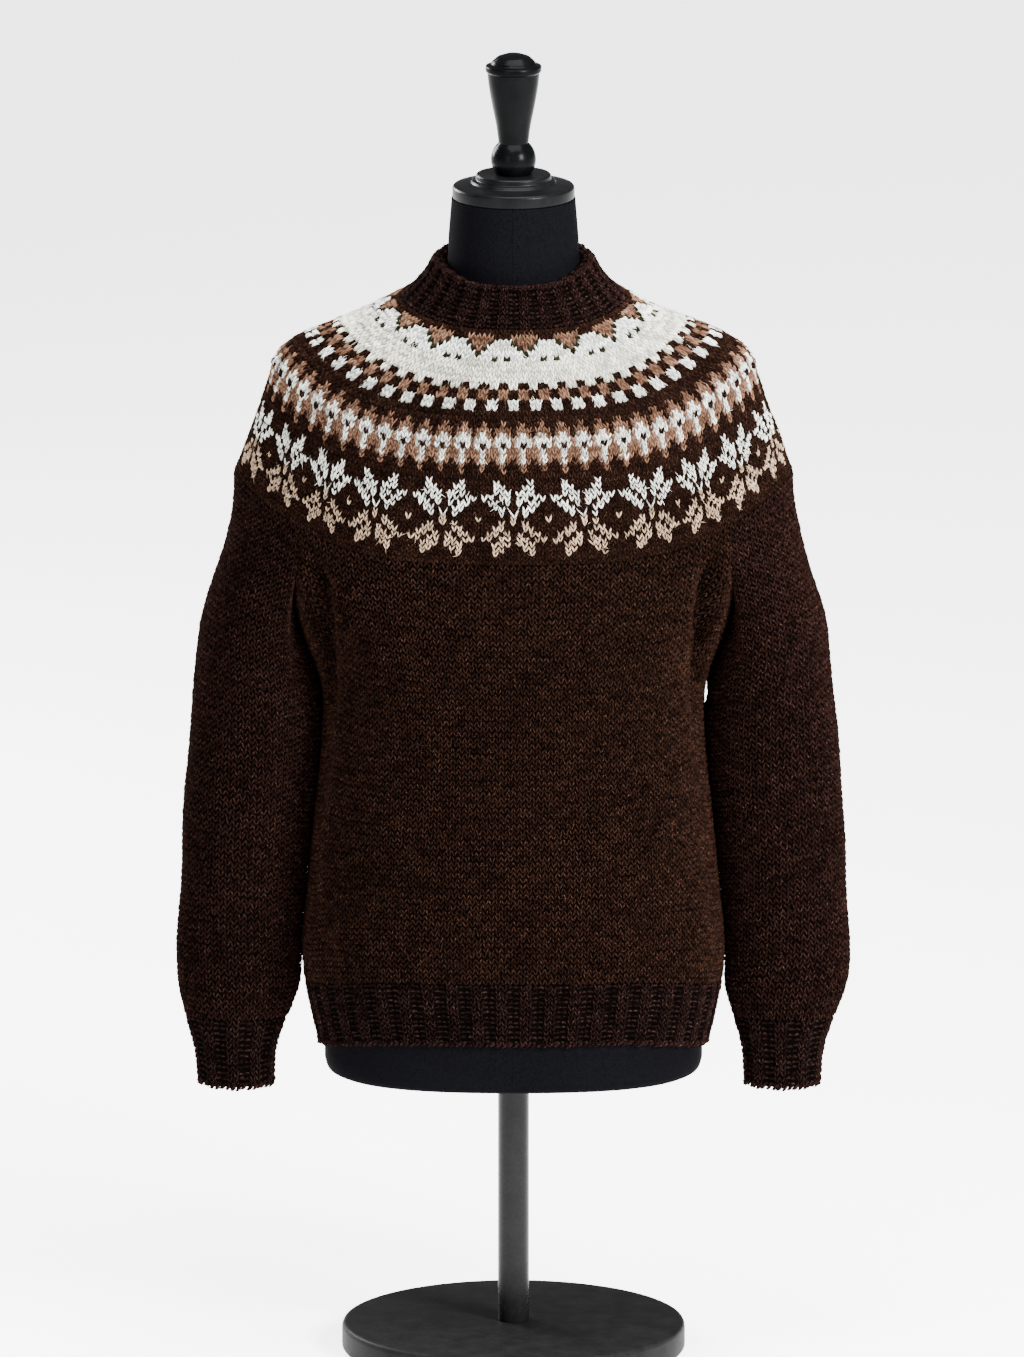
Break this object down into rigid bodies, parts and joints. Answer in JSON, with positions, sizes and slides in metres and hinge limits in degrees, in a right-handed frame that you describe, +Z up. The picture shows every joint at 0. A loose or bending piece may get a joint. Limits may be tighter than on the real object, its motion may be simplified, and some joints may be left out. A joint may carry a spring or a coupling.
{
  "type": "yoke sweater on a dress form",
  "caption": "Hand-knit round-yoke pullover with ribbed hem, cuffs and neckband, worn by a limbless dress form on a pole and round base.",
  "frame": {"origin": "centre of the base's underside", "axes": "+Z up, the wearer would face -Y, the wearer's left is +X"},
  "size_m": [0.6043, 0.31, 1.193],
  "materials": {
    "body_wool": "dark brown heathered wool, stocking stitch and rib",
    "sleeve_wool": "dark brown heathered wool, stocking stitch and rib",
    "yoke_wool": "stranded wool in dark brown, white, beige and rose brown",
    "form_jersey": "charcoal jersey stretched over the form",
    "satin_black": "turned, satin black",
    "pole_black": "satin black",
    "base_charcoal": "matte charcoal powder coat"
  },
  "bodies": {
    "root": {"body": "body_wool", "hem_rib": "body_wool", "sleeve_left": "sleeve_wool", "sleeve_right": "sleeve_wool", "cuff_left": "sleeve_wool", "cuff_right": "sleeve_wool", "yoke": "yoke_wool", "neckband": "body_wool", "form_torso": "form_jersey", "neck_cap": "satin_black", "finial": "satin_black", "pole": "pole_black", "base": "base_charcoal"}
  },
  "joints": []
}
